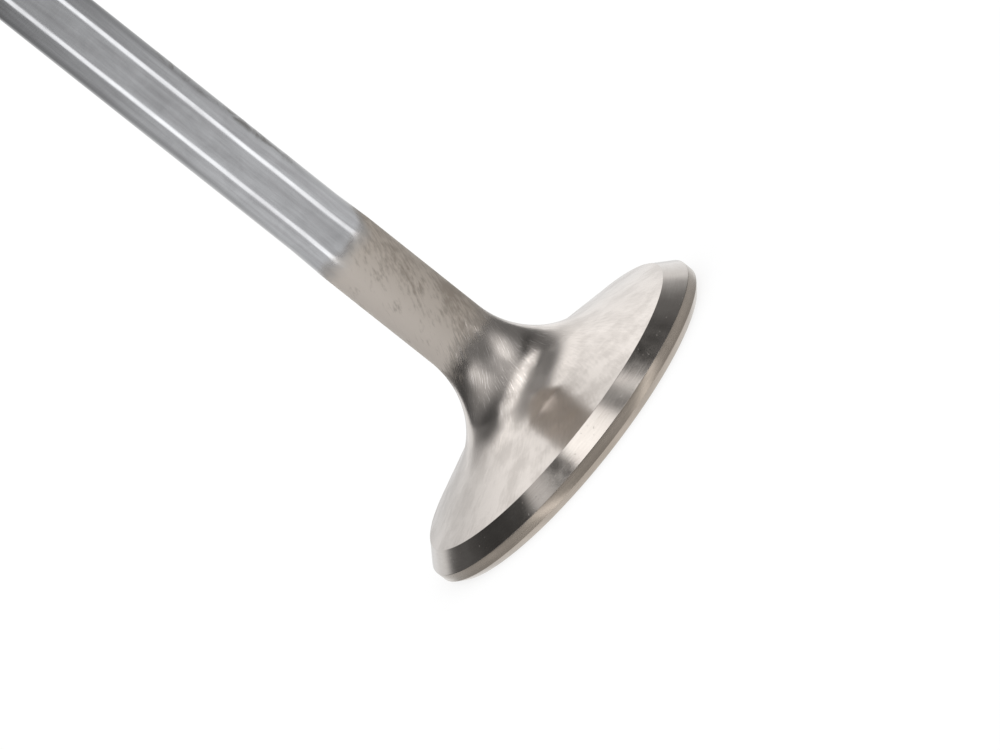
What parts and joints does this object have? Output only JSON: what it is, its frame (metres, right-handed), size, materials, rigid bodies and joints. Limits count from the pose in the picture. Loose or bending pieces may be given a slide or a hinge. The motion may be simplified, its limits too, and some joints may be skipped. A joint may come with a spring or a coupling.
{
  "type": "engine valve",
  "caption": "Poppet valve for a piston engine: mushroom head with a conical sealing seat and a long ground stem with a keeper groove near its tip.",
  "frame": {"origin": "centre of the combustion face, on which the valve stands", "axes": "+Z along the stem, from the head to the tip; the valve is the same all round, so +X and +Y are free"},
  "size_m": [0.0384, 0.0384, 0.108],
  "materials": {
    "valve_steel": "ground and polished"
  },
  "bodies": {
    "root": {"valve": "valve_steel"}
  },
  "joints": []
}
